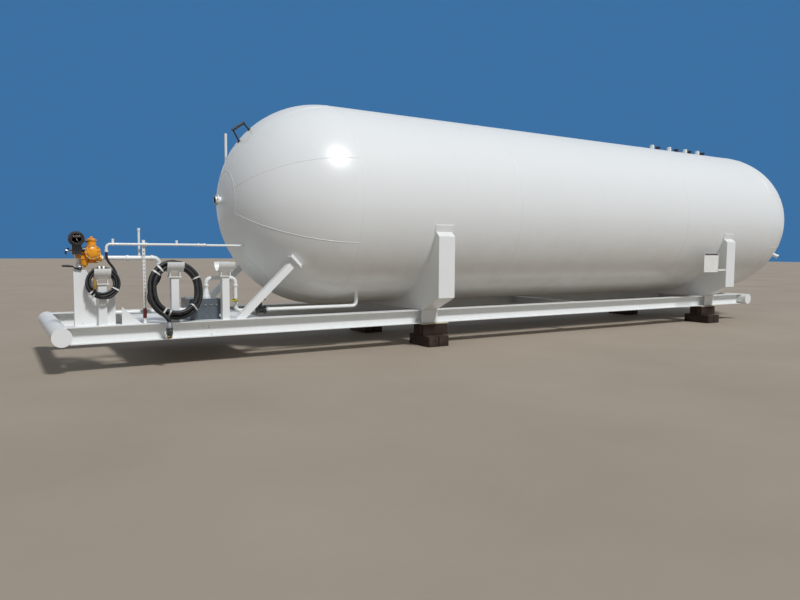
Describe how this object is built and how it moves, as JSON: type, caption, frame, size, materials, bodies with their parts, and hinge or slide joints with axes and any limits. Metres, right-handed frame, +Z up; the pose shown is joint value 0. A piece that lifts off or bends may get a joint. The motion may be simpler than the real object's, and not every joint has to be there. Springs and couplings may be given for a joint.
{
  "type": "horizontal pressure tank",
  "caption": "White skid-mounted horizontal pressure tank with rounded heads, box saddles on timber blocks, and a hose and metering stand at one end",
  "frame": {"origin": "centre of the bounding box in plan, on the ground that the timber blocks stand on", "axes": "+X from the hose end to the rear end of the tank, +Y to the side away from the sign and hose cradles, +Z up"},
  "size_m": [16.9498, 3.402, 4.151],
  "materials": {
    "white_paint": "gloss",
    "black_paint": "satin",
    "timber": "rough",
    "meter_paint": "gloss",
    "slate_paint": "satin",
    "dark_iron": "satin",
    "valve_steel": "satin",
    "valve_brass": "satin",
    "sign_face": "satin",
    "hose_rubber": "matte"
  },
  "bodies": {
    "tank": {"shell": "white_paint", "front_head": "white_paint", "rear_head": "white_paint", "head_gauge": "white_paint", "head_rail": "black_paint", "head_pipe": "white_paint", "rear_coupling": "white_paint", "relief_stacks": "white_paint", "relief_caps": "black_paint", "near_beam": "white_paint", "far_beam": "white_paint", "front_bumper": "white_paint", "rear_bumper": "white_paint", "cross_members": "white_paint", "deck_plate": "white_paint", "skid_gussets": "white_paint", "near_brace": "white_paint", "far_brace": "white_paint", "front_saddle": "white_paint", "rear_saddle": "white_paint", "front_timbers": "timber", "rear_timbers": "timber", "meter_panel": "white_paint", "vapor_hanger": "white_paint", "liquid_hanger": "white_paint", "spare_hanger": "white_paint", "perforated_post": "white_paint", "riser_pipe": "white_paint", "inlet_valve": "valve_steel", "meter_body": "meter_paint", "meter_register": "black_paint", "loading_pipe": "white_paint", "vent_pipe": "white_paint", "vapor_line": "white_paint", "pump_body": "slate_paint", "pump_reducer": "white_paint", "suction_pipe": "white_paint", "line_valve": "dark_iron", "sign_plate": "sign_face", "liquid_hose_lead": "hose_rubber", "liquid_hose_coil": "hose_rubber", "liquid_hose_tail": "hose_rubber", "liquid_hose_valve": "valve_steel", "hose_sleeve": "hose_rubber", "vapor_hose_lead": "hose_rubber", "vapor_hose_coil": "hose_rubber", "vapor_hose_tail": "hose_rubber", "vapor_hose_valve": "valve_brass"},
    "lever": {"valve_lever": "black_paint"}
  },
  "joints": [
    {"name": "inlet_lever_turn", "type": "hinge", "parent": "tank", "child": "lever", "pos_m": [-8.1, -1.073, 1.352], "axis": [0, -1, 0], "range_deg": [0, 90]}
  ]
}
